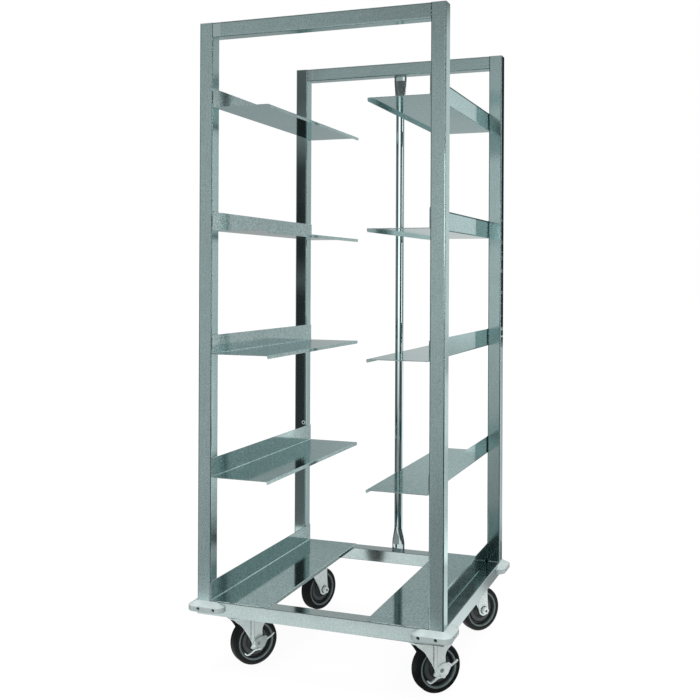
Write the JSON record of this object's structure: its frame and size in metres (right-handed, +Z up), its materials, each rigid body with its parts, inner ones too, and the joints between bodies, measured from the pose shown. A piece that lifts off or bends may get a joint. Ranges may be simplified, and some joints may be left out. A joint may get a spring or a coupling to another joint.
{
  "type": "tray rack cart",
  "caption": "Tall open tray rack cart: square-tube posts, wide paired ledges, rear stop rod, low base frame with corner bumpers and swivel casters, the front ones braked.",
  "frame": {"origin": "centre of the cart's footprint, on the floor under the wheels", "axes": "+Z up, +X to the cart's right seen from the open front, +Y towards the back where the stop rod stands"},
  "size_m": [0.704, 0.704, 1.689],
  "materials": {
    "stainless_steel": "satin stainless tube with fine lengthwise grain",
    "stainless_sheet": "satin stainless sheet with fine grain and soft reflections",
    "aluminium_rail": "light satin extruded tube",
    "bumper_plastic": "light grey moulded, slightly satin",
    "dark_screw": "black oxide",
    "zinc_plate": "bright zinc plated pressed steel",
    "ball_steel": "ground steel, lightly greased",
    "tyre_rubber": "smooth black rubber, semi matte",
    "wheel_core_plastic": "dark grey moulded, semi gloss"
  },
  "bodies": {
    "frame": {"front_left_post": "stainless_steel", "front_right_post": "stainless_steel", "rear_left_post": "stainless_steel", "rear_right_post": "stainless_steel", "post_top_caps": "stainless_steel", "front_top_bar": "stainless_steel", "rear_top_bar": "stainless_steel", "front_base_rail": "aluminium_rail", "rear_base_rail": "aluminium_rail", "left_base_rail": "aluminium_rail", "right_base_rail": "aluminium_rail", "left_ledge_1": "stainless_sheet", "left_ledge_2": "stainless_sheet", "left_ledge_3": "stainless_sheet", "left_ledge_4": "stainless_sheet", "left_ledge_5": "stainless_sheet", "right_ledge_1": "stainless_sheet", "right_ledge_2": "stainless_sheet", "right_ledge_3": "stainless_sheet", "right_ledge_4": "stainless_sheet", "right_ledge_5": "stainless_sheet", "rear_stop_rod": "stainless_steel", "front_left_bumper": "bumper_plastic", "front_right_bumper": "bumper_plastic", "rear_left_bumper": "bumper_plastic", "rear_right_bumper": "bumper_plastic", "bumper_screws": "dark_screw", "caster_mounting_plates": "zinc_plate", "caster_bolts": "zinc_plate", "caster_nuts": "zinc_plate", "caster_kingpins": "zinc_plate", "swivel_balls": "ball_steel", "front_left_caster_plate": "zinc_plate", "front_right_caster_plate": "zinc_plate", "rear_left_caster_plate": "zinc_plate", "rear_right_caster_plate": "zinc_plate"},
    "front_left_caster": {"front_left_fork": "zinc_plate", "front_left_axle_bolt": "zinc_plate", "front_left_brake_cam": "zinc_plate"},
    "front_left_wheel": {"front_left_tyre": "tyre_rubber", "front_left_wheel_core": "wheel_core_plastic", "front_left_wheel_bush": "ball_steel"},
    "front_left_brake": {"front_left_brake_lever": "zinc_plate"},
    "front_right_caster": {"front_right_fork": "zinc_plate", "front_right_axle_bolt": "zinc_plate", "front_right_brake_cam": "zinc_plate"},
    "front_right_wheel": {"front_right_tyre": "tyre_rubber", "front_right_wheel_core": "wheel_core_plastic", "front_right_wheel_bush": "ball_steel"},
    "front_right_brake": {"front_right_brake_lever": "zinc_plate"},
    "rear_left_caster": {"rear_left_fork": "zinc_plate", "rear_left_axle_bolt": "zinc_plate"},
    "rear_left_wheel": {"rear_left_tyre": "tyre_rubber", "rear_left_wheel_core": "wheel_core_plastic", "rear_left_wheel_bush": "ball_steel"},
    "rear_right_caster": {"rear_right_fork": "zinc_plate", "rear_right_axle_bolt": "zinc_plate"},
    "rear_right_wheel": {"rear_right_tyre": "tyre_rubber", "rear_right_wheel_core": "wheel_core_plastic", "rear_right_wheel_bush": "ball_steel"}
  },
  "joints": [
    {"name": "front_left_swivel", "type": "hinge", "parent": "frame", "child": "front_left_caster", "pos_m": [-0.251, -0.2355, 0.1345], "axis": [0, 0, 1], "continuous": true},
    {"name": "front_left_wheel_spin", "type": "hinge", "parent": "front_left_caster", "child": "front_left_wheel", "pos_m": [-0.22755, -0.20623, 0.0635], "axis": [0.7804, -0.6252, 0], "continuous": true},
    {"name": "front_left_brake_turn", "type": "hinge", "parent": "front_left_caster", "child": "front_left_brake", "pos_m": [-0.22755, -0.20623, 0.0635], "axis": [-0.7804, 0.6252, 0], "range_deg": [0, 32]},
    {"name": "front_right_swivel", "type": "hinge", "parent": "frame", "child": "front_right_caster", "pos_m": [0.251, -0.2355, 0.1345], "axis": [0, 0, 1], "continuous": true},
    {"name": "front_right_wheel_spin", "type": "hinge", "parent": "front_right_caster", "child": "front_right_wheel", "pos_m": [0.27756, -0.20903, 0.0635], "axis": [0.7059, -0.7083, 0], "continuous": true},
    {"name": "front_right_brake_turn", "type": "hinge", "parent": "front_right_caster", "child": "front_right_brake", "pos_m": [0.27756, -0.20903, 0.0635], "axis": [-0.7059, 0.7083, 0], "range_deg": [0, 32]},
    {"name": "rear_left_swivel", "type": "hinge", "parent": "frame", "child": "rear_left_caster", "pos_m": [-0.251, 0.2355, 0.1345], "axis": [0, 0, 1], "continuous": true},
    {"name": "rear_left_wheel_spin", "type": "hinge", "parent": "rear_left_caster", "child": "rear_left_wheel", "pos_m": [-0.23641, 0.27004, 0.0635], "axis": [0.9212, -0.3891, 0], "continuous": true},
    {"name": "rear_right_swivel", "type": "hinge", "parent": "frame", "child": "rear_right_caster", "pos_m": [0.251, 0.2355, 0.1345], "axis": [0, 0, 1], "continuous": true},
    {"name": "rear_right_wheel_spin", "type": "hinge", "parent": "rear_right_caster", "child": "rear_right_wheel", "pos_m": [0.27485, 0.26444, 0.0635], "axis": [0.7716, -0.6361, 0], "continuous": true}
  ]
}
